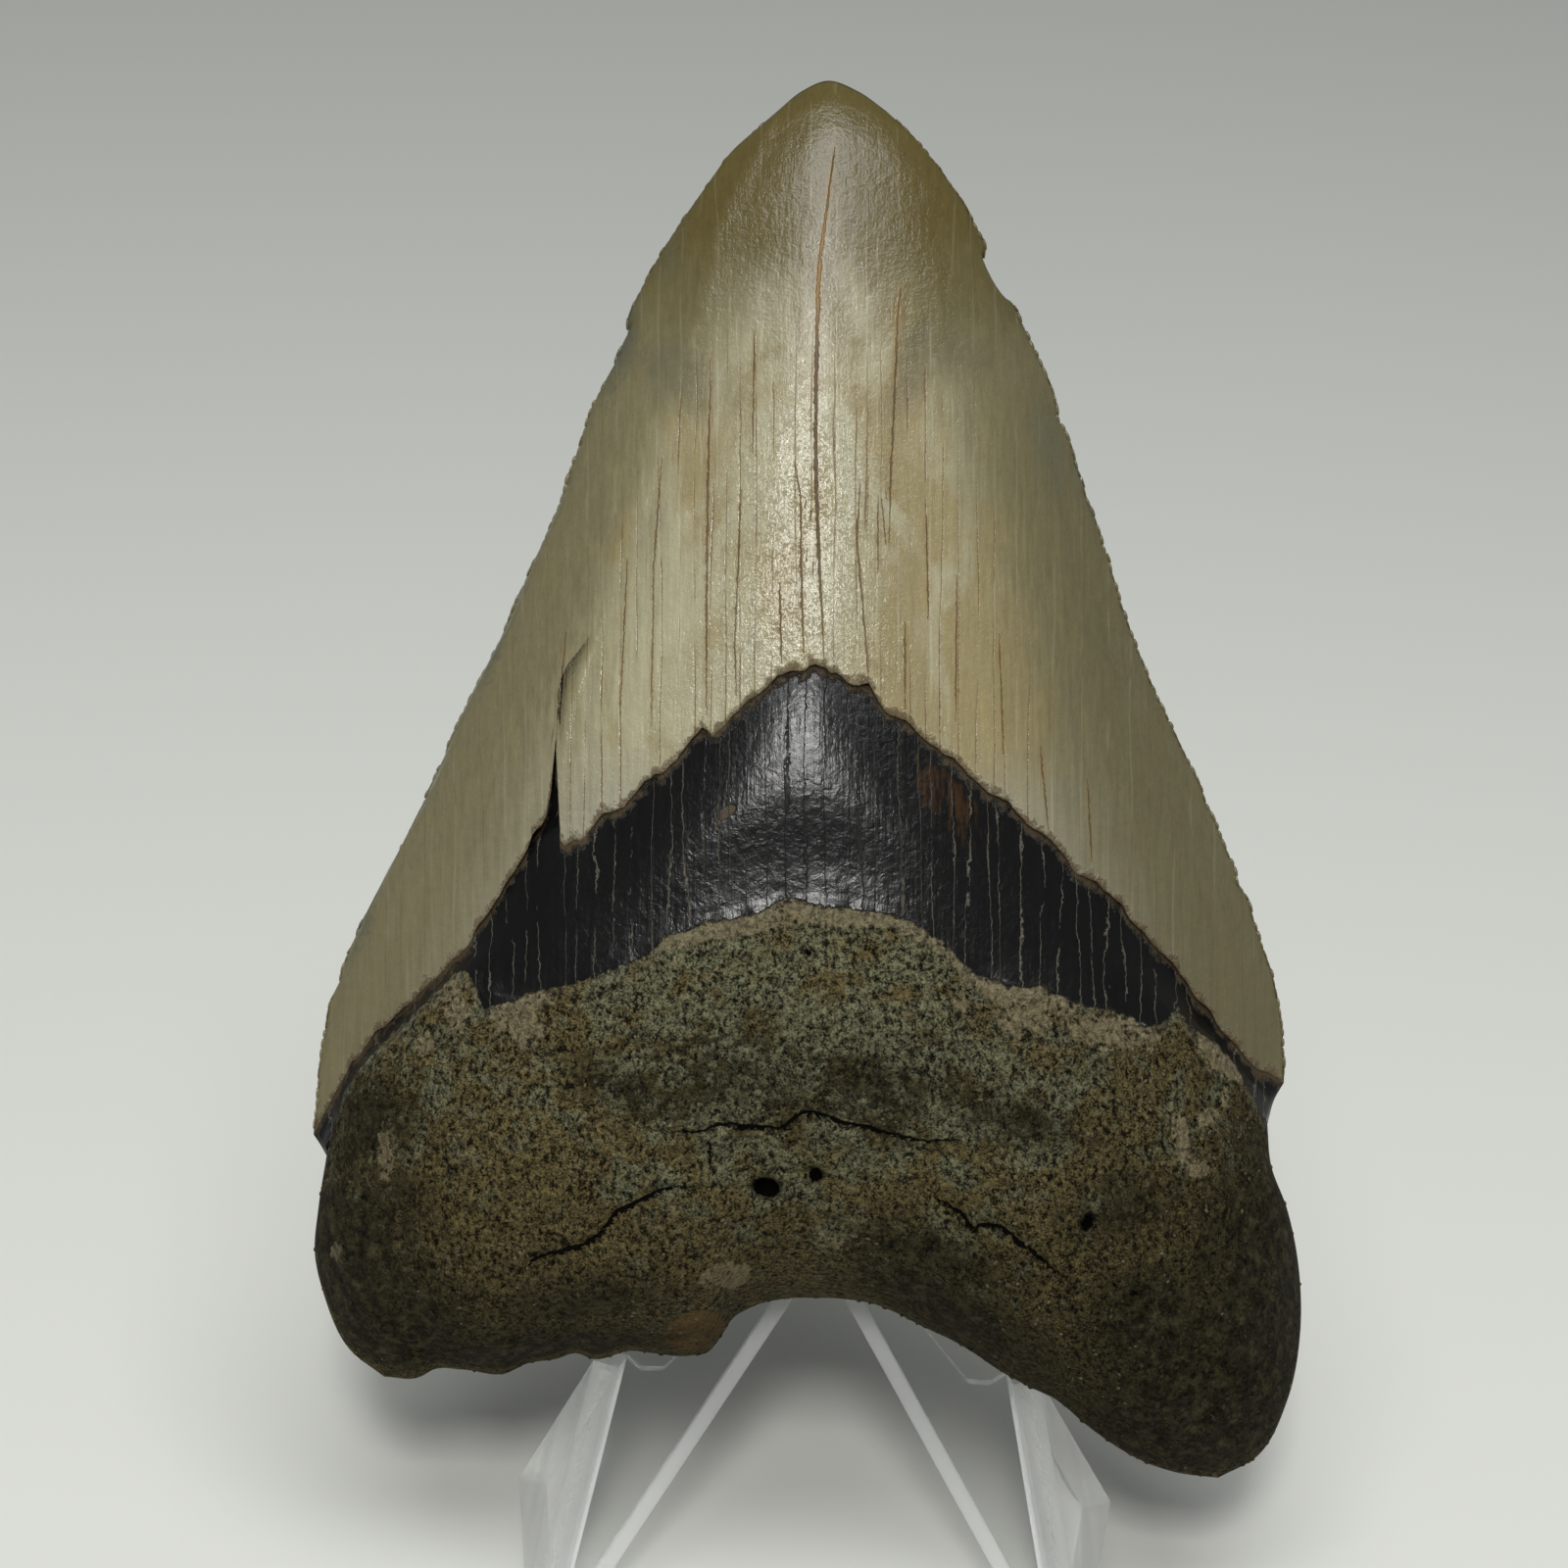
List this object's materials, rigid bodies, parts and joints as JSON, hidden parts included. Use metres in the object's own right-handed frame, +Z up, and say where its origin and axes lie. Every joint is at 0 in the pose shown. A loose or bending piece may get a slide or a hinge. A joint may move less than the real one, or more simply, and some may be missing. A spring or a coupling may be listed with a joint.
{
  "type": "fossil shark tooth on an easel stand",
  "caption": "Broad triangular fossil shark tooth with serrated edges, dark band and lobed root, leaning back on a folded clear easel stand.",
  "frame": {"origin": "middle of the footprint at the height of the table that the stand's feet rest on", "axes": "+Z up, the tooth's tip points up and leans back towards +Y, its front with the dark band faces -Y, and +X is to the right of someone who looks at that front"},
  "size_m": [0.0852, 0.0768, 0.1195],
  "materials": {
    "fossil_tooth": "glossy olive enamel, near-black band, granular gray-brown root",
    "clear_acrylic": "clear and polished, edges slightly frosted"
  },
  "bodies": {
    "root": {"tooth": "fossil_tooth", "easel_stand": "clear_acrylic"}
  },
  "joints": []
}
